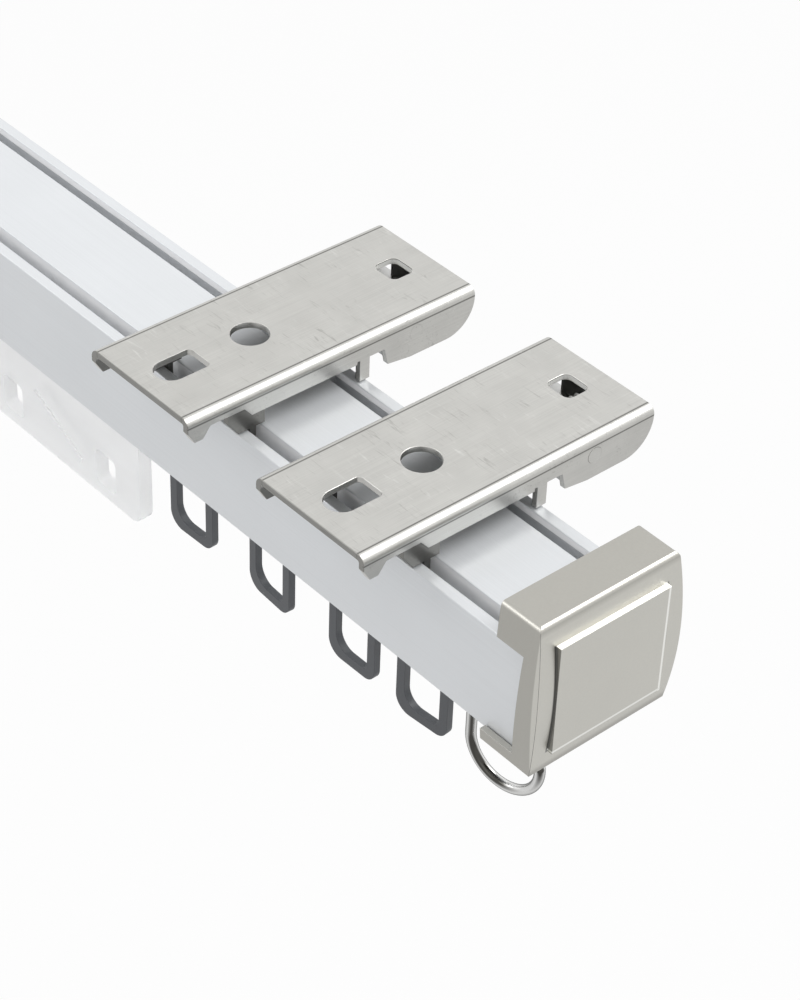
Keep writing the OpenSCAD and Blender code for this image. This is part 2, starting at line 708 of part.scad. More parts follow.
// Plate that hangs through the slot, with windows for the curtain's first
// hooks and slanting ribs between them
module lead_carrier_hanger() {
    color(frosted) translate([carrier_x, centre_y, 0]) {
        difference() {
            union() {
                along_y(-hanger_t / 2, hanger_t / 2)
                    translate([0, (hanger_shoulder + hanger_bottom) / 2])
                        rounded_rect(hanger_len, hanger_shoulder - hanger_bottom, hanger_r);
                block([-tongue_len / 2, -hanger_t / 2, hanger_shoulder - hanger_r],
                    [tongue_len / 2, hanger_t / 2, tongue_top]);
            }
            for (s = [-1, 0, 1]) translate([s * window_pitch, 0, 0])
                along_y(-hanger_t, hanger_t) translate([0, window_z])
                    rounded_rect(window_w, window_h, window_r);
            for (s = [-1, 1]) translate([s * rivet_pitch / 2, 0, tongue_z])
                rod_y(rivet_d, -hanger_t, hanger_t);
        }
        for (s = [-1, 1]) translate([s * window_pitch / 2, 0, rib_z]) rotate([0, rib_tilt, 0])
            cube([rib_len, hanger_t + 2 * rib_proud, rib_w], center = true);
    }
}

module lead_carrier_rivets() {
    color(bright_chrome) for (s = [-1, 1])
        translate([carrier_x + s * rivet_pitch / 2, centre_y, tongue_z]) rod_y(rivet_d, -body_w / 2, body_w / 2);
}

// Block that slides into the channel and is clamped there near the end
module end_stop(side) {
    color(dark_grey) at_end(side) difference() {
        union() {
            block([-stop_from_end, -stop_w / 2, channel_floor],
                [-stop_from_end + stop_len, stop_w / 2, stop_top]);
            block([-stop_from_end, -stem_w / 2, rail_bottom],
                [-stop_from_end + stop_len, stem_w / 2, channel_floor + over]);
        }
        translate([-hook_from_end, 0, 0]) {
            rod_z(hook_wire + 2 * pin_gap, rail_bottom - over, stop_top);
            rod_z(hook_head_d + 2 * pin_gap, hook_head_z - pin_gap, stop_top + over);
        }
        translate([-hook_from_end + clamp_from_hook, 0, 0])
            rod_z(clamp_d, rail_bottom - over, stop_top + over);
    }
}

// Grub screw that bears on the deck above and jams the stop on the floor
module clamp_screw(side) {
    color(spring_steel) at_end(side) translate([-hook_from_end + clamp_from_hook, 0, 0]) difference() {
        rod_z(clamp_d, channel_top - clamp_len, channel_top);
        translate([0, 0, channel_top - clamp_len - over])
            cylinder(d = clamp_hex, h = clamp_hex_depth + over, $fn = 6);
    }
}

// Wire hook with an upset head that turns in the end stop
module end_hook(side) {
    bend_z = rail_bottom - hook_drop;
    color(bright_chrome) at_end(side) translate([-hook_from_end, 0, 0]) rotate([0, 0, hook_turn]) {
        rod_z(hook_wire, bend_z, hook_head_z + hook_head_t / 2);
        rod_z(hook_head_d, hook_head_z, hook_head_z + hook_head_t);
        translate([hook_r, 0, bend_z]) rotate([90, 0, 0]) rotate([0, 0, 180])
            rotate_extrude(angle = 180) translate([hook_r, 0]) circle(d = hook_wire);
        translate([2 * hook_r, 0, 0]) {
            rod_z(hook_wire, bend_z, bend_z + hook_tip);
            translate([0, 0, bend_z + hook_tip]) sphere(d = hook_wire);
        }
    }
}

rail();
end_cap(1);  // end_cap_right
end_cap(-1);  // end_cap_left
bracket_plate(1);  // bracket_1_plate
bracket_latch(1);  // bracket_1_latch
bracket_latch_pin(1);  // bracket_1_latch_pin
bracket_spring(1);  // bracket_1_spring
bracket_plate(2);  // bracket_2_plate
bracket_latch(2);  // bracket_2_latch
bracket_latch_pin(2);  // bracket_2_latch_pin
bracket_spring(2);  // bracket_2_spring
runner_body(1);  // runner_1_body
axle(runner_x[1]);  // runner_1_axle
wheel(runner_x[1], -1);  // runner_1_wheel_front
wheel(runner_x[1], 1);  // runner_1_wheel_back
runner_ring(1);  // runner_1_ring
runner_body(2);  // runner_2_body
axle(runner_x[2]);  // runner_2_axle
wheel(runner_x[2], -1);  // runner_2_wheel_front
wheel(runner_x[2], 1);  // runner_2_wheel_back
runner_ring(2);  // runner_2_ring
runner_body(3);  // runner_3_body
axle(runner_x[3]);  // runner_3_axle
wheel(runner_x[3], -1);  // runner_3_wheel_front
wheel(runner_x[3], 1);  // runner_3_wheel_back
runner_ring(3);  // runner_3_ring
runner_body(4);  // runner_4_body
axle(runner_x[4]);  // runner_4_axle
wheel(runner_x[4], -1);  // runner_4_wheel_front
wheel(runner_x[4], 1);  // runner_4_wheel_back
runner_ring(4);  // runner_4_ring
lead_carrier_body();
lead_carrier_hanger();
lead_carrier_rivets();
axle(carrier_x + carrier_wheelbase / 2);  // lead_carrier_axle_right
union() {  // lead_carrier_wheels_right
    wheel(carrier_x + carrier_wheelbase / 2, -1);
    wheel(carrier_x + carrier_wheelbase / 2, 1);
}
axle(carrier_x - carrier_wheelbase / 2);  // lead_carrier_axle_left
union() {  // lead_carrier_wheels_left
    wheel(carrier_x - carrier_wheelbase / 2, -1);
    wheel(carrier_x - carrier_wheelbase / 2, 1);
}
end_stop(1);  // end_stop_right
clamp_screw(1);  // clamp_screw_right
end_hook(1);  // end_hook_right
end_stop(-1);  // end_stop_left
clamp_screw(-1);  // clamp_screw_left
end_hook(-1);  // end_hook_left
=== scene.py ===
import json
import math

import bmesh
import bpy
from mathutils import Matrix, Vector


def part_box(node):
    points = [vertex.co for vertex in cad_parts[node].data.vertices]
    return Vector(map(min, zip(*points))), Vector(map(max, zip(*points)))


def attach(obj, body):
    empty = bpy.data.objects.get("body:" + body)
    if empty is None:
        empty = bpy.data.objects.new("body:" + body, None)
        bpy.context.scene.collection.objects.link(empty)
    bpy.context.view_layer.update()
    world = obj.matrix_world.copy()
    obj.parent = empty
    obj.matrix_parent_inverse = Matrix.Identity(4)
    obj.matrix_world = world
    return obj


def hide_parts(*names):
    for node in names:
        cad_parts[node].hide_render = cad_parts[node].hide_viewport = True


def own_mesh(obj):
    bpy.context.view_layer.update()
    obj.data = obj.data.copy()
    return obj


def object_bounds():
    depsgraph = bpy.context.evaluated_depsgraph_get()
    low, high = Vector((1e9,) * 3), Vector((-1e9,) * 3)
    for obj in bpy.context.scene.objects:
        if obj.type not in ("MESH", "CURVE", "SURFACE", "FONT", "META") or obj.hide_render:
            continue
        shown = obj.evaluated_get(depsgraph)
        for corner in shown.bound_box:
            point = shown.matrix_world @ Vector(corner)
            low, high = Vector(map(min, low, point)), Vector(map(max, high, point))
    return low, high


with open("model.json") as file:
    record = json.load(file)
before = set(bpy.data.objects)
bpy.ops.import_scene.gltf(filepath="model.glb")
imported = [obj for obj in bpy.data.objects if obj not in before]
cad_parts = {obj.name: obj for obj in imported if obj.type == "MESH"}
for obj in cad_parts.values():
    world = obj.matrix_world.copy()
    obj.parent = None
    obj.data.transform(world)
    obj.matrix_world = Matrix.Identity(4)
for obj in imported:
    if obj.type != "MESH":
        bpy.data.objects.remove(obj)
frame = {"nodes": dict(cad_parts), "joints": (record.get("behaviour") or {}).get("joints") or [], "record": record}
cad_low, cad_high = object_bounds()

MM = 0.001
MIDDLE_X = (cad_low.x + cad_high.x) / 2
HALF_LENGTH = (cad_high.x - cad_low.x) / 2
TRACK_Y = sum(v.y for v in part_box("rail")) / 2

# Where the camera stands, its azimuth, elevation and roll in degrees, and its
# focal length in pixels of a picture 1000 pixels high
CAMERA_PLACE = Vector((257.26, -237.49, 270.14)) * MM
CAMERA_TURN = (47.83, 38.53, 2.27)
FOCAL_PIXELS = 2717
PICTURE_HEIGHT = 1000
SENSOR = 36

# Edges sharper than this are rounded, and those still sharper than the second
# angle stay sharp in the shading
ROUNDED_FROM = math.radians(28)
SHARP_FROM = math.radians(40)


def place_camera():
    azimuth, elevation, roll = (math.radians(a) for a in CAMERA_TURN)
    back = Vector((math.sin(azimuth) * math.cos(elevation),
                   -math.cos(azimuth) * math.cos(elevation), math.sin(elevation)))
    level = Vector((math.cos(azimuth), math.sin(azimuth), 0))
    rise = back.cross(level)
    right = math.cos(roll) * level + math.sin(roll) * rise
    up = -math.sin(roll) * level + math.cos(roll) * rise
    data = bpy.data.cameras.new("photo_camera")
    data.sensor_width = SENSOR
    data.lens = FOCAL_PIXELS * SENSOR / PICTURE_HEIGHT
    data.clip_start, data.clip_end = 0.01, 20
    cam = bpy.data.objects.new("photo_camera", data)
    turn = Matrix((right, up, back)).transposed().to_4x4()
    cam.matrix_world = Matrix.Translation(CAMERA_PLACE) @ turn
    bpy.context.scene.collection.objects.link(cam)
    bpy.context.scene.camera = cam


# Nodes that the materials share
def new_material(name):
    mat = bpy.data.materials.new(name)
    mat.use_nodes = True
    tree = mat.node_tree
    return mat, tree, tree.nodes["Principled BSDF"]


def opened(mat):
    """A material's tree, its shader and what goes into the shader's colour."""
    tree = mat.node_tree
    shader = tree.nodes["Principled BSDF"]
    return tree, shader, shader.inputs["Base Color"].links[0].from_socket


def feed(tree, socket, value):
    """Links a socket to another one, or sets it to a plain value."""
    if isinstance(value, bpy.types.NodeSocket):
        tree.links.new(value, socket)
    else:
        socket.default_value = value


def math_node(tree, op, *values, clamp=False):
    node = tree.nodes.new("ShaderNodeMath")
    node.operation = op
    node.use_clamp = clamp
    for socket, value in zip(node.inputs, values):
        feed(tree, socket, value)
    return node.outputs[0]


def product(tree, first, *others):
    for other in others:
        first = math_node(tree, "MULTIPLY", first, other)
    return first


def largest(tree, first, *others):
    for other in others:
        first = math_node(tree, "MAXIMUM", first, other)
    return first


def apart(tree, value, centre):
    return math_node(tree, "ABSOLUTE", math_node(tree, "SUBTRACT", value, centre))


def band(tree, value, low, high):
    """0 at the first value, 1 at the second, and even between them."""
    node = tree.nodes.new("ShaderNodeMapRange")
    node.inputs["From Min"].default_value = low
    node.inputs["From Max"].default_value = high
    tree.links.new(value, node.inputs["Value"])
    return node.outputs[0]


def near(tree, value, centre, width):
    """1 where a value lies on a line, 0 from the width on."""
    return band(tree, apart(tree, value, centre), width, width * 0.4)


def mixed(tree, factor, a, b, blend="MIX"):
    node = tree.nodes.new("ShaderNodeMix")
    node.data_type = "RGBA"
    node.blend_type = blend
    for label, value in (("Factor", factor), ("A", a), ("B", b)):
        feed(tree, node.inputs[label], value)
    return node.outputs["Result"]


def surface(tree, kind):
    """X, Y and Z of a point on the piece (Object) or of its facing (Normal)."""
    split = tree.nodes.new("ShaderNodeSeparateXYZ")
    tree.links.new(tree.nodes.new("ShaderNodeTexCoord").outputs[kind], split.inputs[0])
    return [split.outputs[axis] for axis in "XYZ"]


def stretched_noise(tree, coords, scale, turn=(0, 0, 0), detail=3.0, warp=0.0):
    mapping = tree.nodes.new("ShaderNodeMapping")
    mapping.inputs["Scale"].default_value = scale
    mapping.inputs["Rotation"].default_value = turn
    noise = tree.nodes.new("ShaderNodeTexNoise")
    noise.inputs["Scale"].default_value = 1.0
    noise.inputs["Detail"].default_value = detail
    noise.inputs["Roughness"].default_value = 0.55
    noise.inputs["Distortion"].default_value = warp
    tree.links.new(coords, mapping.inputs["Vector"])
    tree.links.new(mapping.outputs[0], noise.inputs["Vector"])
    return noise.outputs["Fac"]


def grain_group(name, scale, blotch=55.0):
    """Fine grain that runs one way, over broad soft blotches."""
    group = bpy.data.node_groups.new(name, "ShaderNodeTree")
    face = group.interface
    face.new_socket("Colour", in_out="INPUT", socket_type="NodeSocketColor")
    for label, value in (("Grain", 0.1), ("Blotches", 0.05), ("Roughness", 0.3), ("Roughness swing", 0.1)):
        face.new_socket(label, in_out="INPUT", socket_type="NodeSocketFloat").default_value = value
    face.new_socket("Colour", in_out="OUTPUT", socket_type="NodeSocketColor")
    face.new_socket("Roughness", in_out="OUTPUT", socket_type="NodeSocketFloat")
    face.new_socket("Height", in_out="OUTPUT", socket_type="NodeSocketFloat")
    get = group.nodes.new("NodeGroupInput").outputs
    out = group.nodes.new("NodeGroupOutput").inputs
    coords = group.nodes.new("ShaderNodeTexCoord").outputs["Object"]
    fine = stretched_noise(group, coords, scale)
    broad = stretched_noise(group, coords, (blotch, blotch, blotch), detail=2.0)
    fine_swing = math_node(group, "SUBTRACT", fine, 0.5)
    broad_swing = math_node(group, "SUBTRACT", broad, 0.5)
    swing = math_node(group, "ADD", product(group, fine_swing, get["Grain"]),
                      product(group, broad_swing, get["Blotches"]))
    shade = math_node(group, "ADD", swing, 1.0)
    group.links.new(mixed(group, 1.0, get["Colour"], shade, "MULTIPLY"), out["Colour"])
    rough = math_node(group, "ADD", product(group, fine_swing, get["Roughness swing"]),
                      get["Roughness"], clamp=True)
    group.links.new(rough, out["Roughness"])
    group.links.new(fine, out["Height"])
    return group


def scratch_group(name, turns):
    """Short crooked scratches in a few directions, in patches."""
    group = bpy.data.node_groups.new(name, "ShaderNodeTree")
    group.interface.new_socket("Mask", in_out="OUTPUT", socket_type="NodeSocketFloat")
    out = group.nodes.new("NodeGroupOutput").inputs
    coords = group.nodes.new("ShaderNodeTexCoord").outputs["Object"]
    masks = []
    for turn, patch in turns:
        lines = stretched_noise(group, coords, (170, 1500, 1500), (0, 0, turn), detail=2.0, warp=1.1)
        patches = stretched_noise(group, coords, (patch, patch, patch), (0, 0, turn), detail=2.0, warp=0.5)
        masks.append(product(group, band(group, lines, 0.61, 0.72), band(group, patches, 0.50, 0.64)))
    group.links.new(largest(group, *masks), out["Mask"])
    return group


def use_group(tree, group, **values):
    node = tree.nodes.new("ShaderNodeGroup")
    node.node_tree = group
    for label, value in values.items():
        node.inputs[label.replace("_", " ")].default_value = value
    return node


def bump(tree, height, shader, strength, distance):
    node = tree.nodes.new("ShaderNodeBump")
    node.inputs["Strength"].default_value = strength
    node.inputs["Distance"].default_value = distance
    tree.links.new(height, node.inputs["Height"])
    tree.links.new(node.outputs[0], shader.inputs["Normal"])


# Materials
def grained_metal(name, group, colour, rough, grain=0.1, blotches=0.06, swing=0.12, metallic=1.0):
    mat, tree, shader = new_material(name)
    node = use_group(tree, group, Colour=(*colour, 1), Grain=grain, Blotches=blotches, Roughness=rough,
                     Roughness_swing=swing)
    shader.inputs["Metallic"].default_value = metallic
    tree.links.new(node.outputs["Colour"], shader.inputs["Base Color"])
    tree.links.new(node.outputs["Roughness"], shader.inputs["Roughness"])
    bump(tree, node.outputs["Height"], shader, 0.25, 0.01 * MM)
    return mat


def scratched_metal(name, group, pale_marks, dark_marks, colour, rough, **more):
    """A grained metal with pale, rough scratches cut into it, and with dark marks."""
    mat = grained_metal(name, group, colour, rough, **more)
    tree, shader, plain = opened(mat)
    pale_mask = use_group(tree, pale_marks).outputs["Mask"]
    dark_mask = use_group(tree, dark_marks).outputs["Mask"]
    paler = mixed(tree, product(tree, pale_mask, 0.28), plain, (0.85, 0.85, 0.83, 1))
    darker = mixed(tree, product(tree, dark_mask, 0.32), paler, (0.20, 0.195, 0.18, 1))
    tree.links.new(darker, shader.inputs["Base Color"])
    even_rough = shader.inputs["Roughness"].links[0].from_socket
    rougher = math_node(tree, "ADD", even_rough, product(tree, pale_mask, 0.15), clamp=True)
    tree.links.new(rougher, shader.inputs["Roughness"])
    relief = shader.inputs["Normal"].links[0].from_node
    fine = relief.inputs["Height"].links[0].from_socket
    tree.links.new(math_node(tree, "SUBTRACT", fine, pale_mask), relief.inputs["Height"])
    return mat


def pressed_metal_painted_shade_and_highlight(name, group, pale_marks, dark_marks, colour, rough, **more):
    """Scratched sheet with painted shade in its creases, on its inner faces and along its front edge.

    The cut faces of the sight hole near its rear edge carry a painted highlight: pale, dull and not metal.
    """
    mat = scratched_metal(name, group, pale_marks, dark_marks, colour, rough, **more)
    tree, shader, plain = opened(mat)
    x, y, z = surface(tree, "Object")
    boxes = [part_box(f"bracket_{b}_plate") for b in (1, 2)]
    low, high = boxes[0]
    half_width = (high.x - low.x) / 2
    top = high.z
    middles = [apart(tree, x, (a.x + b.x) / 2) for a, b in boxes]
    from_middle = math_node(tree, "MINIMUM", *middles)
    # Painted shade: dark lines in the creases of the bend, dark inner faces of the sides and claws, and a dark
    # front edge
    crease_width = 0.22 * MM
    top_crease_painted_shade = near(tree, from_middle, half_width - 1.65 * MM, crease_width)
    on_side = band(tree, from_middle, half_width - 0.5 * MM, half_width - 0.3 * MM)
    side_crease_painted_shade = product(tree, on_side, near(tree, z, top - 1.7 * MM, crease_width))
    inside = product(tree, band(tree, from_middle, half_width - 0.9 * MM, half_width - 1.15 * MM),
                     band(tree, z, top - 1.4 * MM, top - 2.2 * MM))
    front_edge_painted_shade = product(tree, band(tree, y, low.y + 0.2 * MM, low.y + 0.1 * MM), 0.8)
    dark = largest(tree, top_crease_painted_shade, side_crease_painted_shade, inside, front_edge_painted_shade)
    # The painted shade is mixed toward near-black
    darker = mixed(tree, product(tree, dark, 0.75), plain, (0.09, 0.088, 0.08, 1))
    # Painted highlight: a pale, dull, non-metal rim on the sight hole's cut faces
    from_hole = apart(tree, y, low.y + 56.5 * MM)
    rim = product(tree, band(tree, from_middle, 3.2 * MM, 3.1 * MM),
                  band(tree, from_hole, 2.9 * MM, 2.8 * MM),
                  band(tree, z, top - 0.15 * MM, top - 0.25 * MM))
    tree.links.new(mixed(tree, rim, darker, (0.92, 0.92, 0.89, 1)), shader.inputs["Base Color"])
    tree.links.new(math_node(tree, "SUBTRACT", 1.0, rim), shader.inputs["Metallic"])
    return mat


def cast_cap_metal_painted_light_and_shade(name, group, colour, painted_light_face_colour, rough):
    """A grained metal with painted light on its outer end face, painted highlights on some edges and painted shade
    on others.
    """
    mat = grained_metal(name, group, colour, rough)
    tree, shader, plain = opened(mat)
    x, y, z = surface(tree, "Object")
    from_middle = apart(tree, x, MIDDLE_X)
    outer = band(tree, from_middle, HALF_LENGTH - 1.65 * MM, HALF_LENGTH - 1.45 * MM)
    # Painted light: the outer end face is made lighter than the rest of the cap
    painted_light_ratio = (*(b / a for a, b in zip(colour, painted_light_face_colour)), 1)
    result = mixed(tree, 1.0, plain, mixed(tree, outer, (1, 1, 1, 1), painted_light_ratio), "MULTIPLY")

    # Edges that turn from the end face to a side, the top or the bottom, for painted highlight and painted shade
    # lines
    facing_x, facing_y, facing_z = surface(tree, "Normal")
    outward = math_node(tree, "ABSOLUTE", facing_x)
    across = product(tree, outward, facing_y)
    upward = product(tree, outward, facing_z)

    # Painted highlight and painted shade lines along the raised panel, beside it and below it
    low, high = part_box("end_cap_right")
    off_centre = math_node(tree, "SUBTRACT", y, TRACK_Y)
    off_middle = math_node(tree, "SUBTRACT", z, (low.z + high.z) / 2)
    beside = product(tree, outer, band(tree, math_node(tree, "ABSOLUTE", off_middle), 11.3 * MM, 11 * MM))
    below = product(tree, outer, band(tree, math_node(tree, "ABSOLUTE", off_centre), 12.3 * MM, 12 * MM))
    # Pale lines are painted highlights and dark lines are painted shade
    marks = (
        (band(tree, across, -0.15, -0.38), 0.10),
        (band(tree, across, 0.15, 0.38), 0.97),
        (band(tree, upward, -0.15, -0.38), 0.28),
        (product(tree, beside, near(tree, off_centre, 11.7 * MM, 0.3 * MM)), 0.97),
        (product(tree, beside, near(tree, off_centre, 12.25 * MM, 0.22 * MM)), 0.22),
        (product(tree, beside, near(tree, off_centre, -12.2 * MM, 0.3 * MM)), 0.16),
        (product(tree, below, near(tree, off_middle, -10.6 * MM, 0.3 * MM)), 0.9))
    for mask, shade in marks:
        result = mixed(tree, mask, result, (shade, shade, shade * 0.96, 1))
    tree.links.new(result, shader.inputs["Base Color"])
    return mat


def drawn_metal_painted_light(name, group, colour, groove_painted_light_colour, rough, metallic):
    """The rail's metal, with painted light inside its two top grooves: pale and not metal there."""
    mat = grained_metal(name, group, colour, rough, metallic=metallic)
    tree, shader, plain = opened(mat)
    _, y, z = surface(tree, "Object")
    off_centre = apart(tree, y, TRACK_Y)
    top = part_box("rail")[1].z
    # Painted light: the two top grooves, which lie in shade, are made pale and not metal
    groove_painted_light = product(tree, band(tree, off_centre, 8.6 * MM, 8.7 * MM),
                     band(tree, off_centre, 12.4 * MM, 12.3 * MM),
                     band(tree, z, top - 0.15 * MM, top - 0.3 * MM))
    tree.links.new(mixed(tree, groove_painted_light, plain, (*groove_painted_light_colour, 1)), shader.inputs["Base Color"])
    outside = math_node(tree, "SUBTRACT", 1.0, groove_painted_light)
    tree.links.new(product(tree, outside, metallic), shader.inputs["Metallic"])
    return mat


def wire_painted_dark_reflection(name, group, colour, painted_reflection_colour, rough):
    """A bright wire with a painted dark reflection along the side that faces the camera."""
    mat = grained_metal(name, group, colour, rough, swing=0.03)
    tree, shader, plain = opened(mat)
    shader.inputs["Specular Tint"].default_value = (0.2, 0.2, 0.2, 1)
    # Painted dark reflection: the side whose facing points toward the camera is made dark
    painted_reflection_side = (0.6, -0.55, 0.58)
    toward = tree.nodes.new("ShaderNodeVectorMath")
    toward.operation = "DOT_PRODUCT"
    tree.links.new(tree.nodes.new("ShaderNodeTexCoord").outputs["Normal"], toward.inputs[0])
    toward.inputs[1].default_value = painted_reflection_side
    mask = band(tree, toward.outputs["Value"], 0.62, 0.82)
    tree.links.new(mixed(tree, mask, plain, (*painted_reflection_colour, 1)), shader.inputs["Base Color"])
    return mat


def moulded(name, group, colour, rough):
    mat, tree, shader = new_material(name)
    node = use_group(tree, group, Colour=(*colour, 1), Grain=0.06, Blotches=0.06, Roughness=rough,
                     Roughness_swing=0.15)
    tree.links.new(node.outputs["Colour"], shader.inputs["Base Color"])
    tree.links.new(node.outputs["Roughness"], shader.inputs["Roughness"])
    bump(tree, node.outputs["Height"], shader, 0.2, 0.015 * MM)
    return mat


def frosted(name, group, colour, rough):
    """A cloudy see-through plastic with soft slanting flow streaks."""
    mat = moulded(name, group, colour, rough)
    tree, shader, plain = opened(mat)
    coords = tree.nodes.new("ShaderNodeTexCoord").outputs["Object"]
    streaks = band(tree, stretched_noise(tree, coords, (45, 100, 190), (0, 0.6, 0), detail=2.0), 0.36, 0.66)
    streak_colour = (*(c * 0.95 for c in colour), 1)
    tree.links.new(mixed(tree, streaks, streak_colour, plain), shader.inputs["Base Color"])
    shader.inputs["Transmission Weight"].default_value = 0.95
    shader.inputs["IOR"].default_value = 1.15
    return mat


along_track = grain_group("grain_along_track", (25, 5200, 5200))
along_bracket = grain_group("grain_along_bracket", (5200, 60, 5200), blotch=130.0)
even_grain = grain_group("even_grain", (2600, 2600, 2600))
scratches = scratch_group("hairline_scratches", ((0.35, 70), (-0.9, 95), (1.5, 120)))
dark_scratches = scratch_group("dark_scratches", ((0.9, 110), (-0.3, 90), (1.9, 75)))

bracket_metal = pressed_metal_painted_shade_and_highlight("bracket_metal", along_bracket, scratches, dark_scratches,
                              (0.575, 0.57, 0.545), 0.36, grain=0.26, blotches=0.2)
FINISH = {
    "rail": drawn_metal_painted_light("rail_metal", along_track, (0.76, 0.78, 0.80), (0.97, 0.975, 0.985), 0.42, 0.3),
    "end_cap": cast_cap_metal_painted_light_and_shade("cap_metal", even_grain, (0.46, 0.45, 0.415), (0.63, 0.62, 0.575), 0.36),
    "bracket": bracket_metal,
    "latch": grained_metal("latch_metal", along_bracket, (0.62, 0.62, 0.61), 0.34),
    # Painted light: the spring is far paler and duller than steel, so the coil shows lit inside the dark sight
    # hole
    "spring": grained_metal("spring_metal_painted_light", even_grain, (0.92, 0.92, 0.90), 0.3, metallic=0.2),
    "pins": grained_metal("pin_metal", even_grain, (0.62, 0.62, 0.63), 0.18),
    "screws": grained_metal("screw_metal", even_grain, (0.10, 0.10, 0.11), 0.38),
    "hook": wire_painted_dark_reflection("hook_metal", even_grain, (0.78, 0.78, 0.77), (0.07, 0.068, 0.062), 0.16),
    "ring": moulded("ring_plastic", even_grain, (0.075, 0.08, 0.088), 0.42),
    "end_stop": moulded("stop_plastic", even_grain, (0.10, 0.105, 0.11), 0.45),
    "runner": moulded("runner_plastic", even_grain, (0.80, 0.80, 0.78), 0.3),
    "hanger": frosted("hanger_plastic", even_grain, (0.97, 0.975, 0.98), 0.45)}
SLOT = {s["node"]: s["material_slot"] for s in frame["record"]["subparts"]}
BODY = {n: b for b, ns in frame["record"]["behaviour"]["bodies"].items() for n in ns}


# Pieces
def set_material(obj, mat):
    obj.data.materials.clear()
    obj.data.materials.append(mat)


for name, obj in frame["nodes"].items():
    set_material(obj, bracket_metal if name.endswith("latch_pin") else FINISH[SLOT[name]])


def stand_in(name, bm, mesh, node):
    """A finished mesh that stands for a node and moves with it."""
    bm.to_mesh(mesh)
    bm.free()
    for p in mesh.polygons:
        p.use_smooth = True
    mesh.set_sharp_from_angle(angle=SHARP_FROM)
    obj = bpy.data.objects.new(name, mesh)
    bpy.context.scene.collection.objects.link(obj)
    set_material(obj, FINISH[SLOT[node]])
    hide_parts(node)
    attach(obj, BODY[node])
    return obj


def bevelled(bm, edges, width, segments):
    bmesh.ops.bevel(bm, geom=edges, offset=width, offset_type="OFFSET", segments=segments, profile=0.5,
                    affect="EDGES", clamp_overlap=True, material=-1)


def round_top_edges(bm):
    """Rounds the edges of a cap's top, apart from the one toward the track's middle."""
    top = max(v.co.z for v in bm.verts) - 0.01 * MM
    inner = min(abs(v.co.x - MIDDLE_X) for v in bm.verts if v.co.z > top) + 0.05 * MM
    edges = [e for e in bm.edges if all(v.co.z > top for v in e.verts) and e.calc_face_angle(0) > 0.5
             and any(abs(v.co.x - MIDDLE_X) > inner for v in e.verts)]
    bevelled(bm, edges, 0.8 * MM, 6)
    bm.normal_update()


def softened(node, width, segments=2, first=None):
    """A merged copy of a node with its sharp edges rounded."""
    mesh = frame["nodes"][node].data.copy()
    mesh.name = node + "_rounded"
    bm = bmesh.new()
    bm.from_mesh(mesh)
    bmesh.ops.remove_doubles(bm, verts=bm.verts, dist=0.002 * MM)
    bmesh.ops.dissolve_limit(bm, angle_limit=math.radians(0.6), verts=bm.verts, edges=bm.edges)
    bm.normal_update()
    if first:
        first(bm)
    sharp = [e for e in bm.edges if len(e.link_faces) == 2 and e.calc_face_angle(0) > ROUNDED_FROM]
    bevelled(bm, sharp, width, segments)
    obj = stand_in(node + "_rounded", bm, mesh, node)
    obj.modifiers.new("even_normals", "WEIGHTED_NORMAL").keep_sharp = True


def coiled_spring(node):
    """A round wire coiled from end to end of the spring's box; it moves with the spring's body."""
    wire, turns, sides, steps = 0.5 * MM, 6, 14, 40
    low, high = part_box(node)
    centre = (low + high) / 2
    radius = (high.x - low.x) / 2 - wire / 2
    length = high.y - low.y - wire
    bm = bmesh.new()
    bmesh.ops.create_circle(bm, cap_ends=True, segments=sides, radius=wire / 2)
    start = Vector((centre.x + radius, low.y + wire / 2, centre.z))
    bmesh.ops.translate(bm, verts=bm.verts, vec=start)
    bmesh.ops.spin(bm, geom=bm.faces[:], cent=(centre.x, start.y, centre.z), axis=(0, -1, 0),
                   angle=math.tau * turns, steps=steps * turns,
                   dvec=(0, length / (steps * turns), 0))
    bmesh.ops.recalc_face_normals(bm, faces=bm.faces)
    name = node + "_coil"
    obj = stand_in(name, bm, bpy.data.meshes.new(name), node)
    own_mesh(obj)


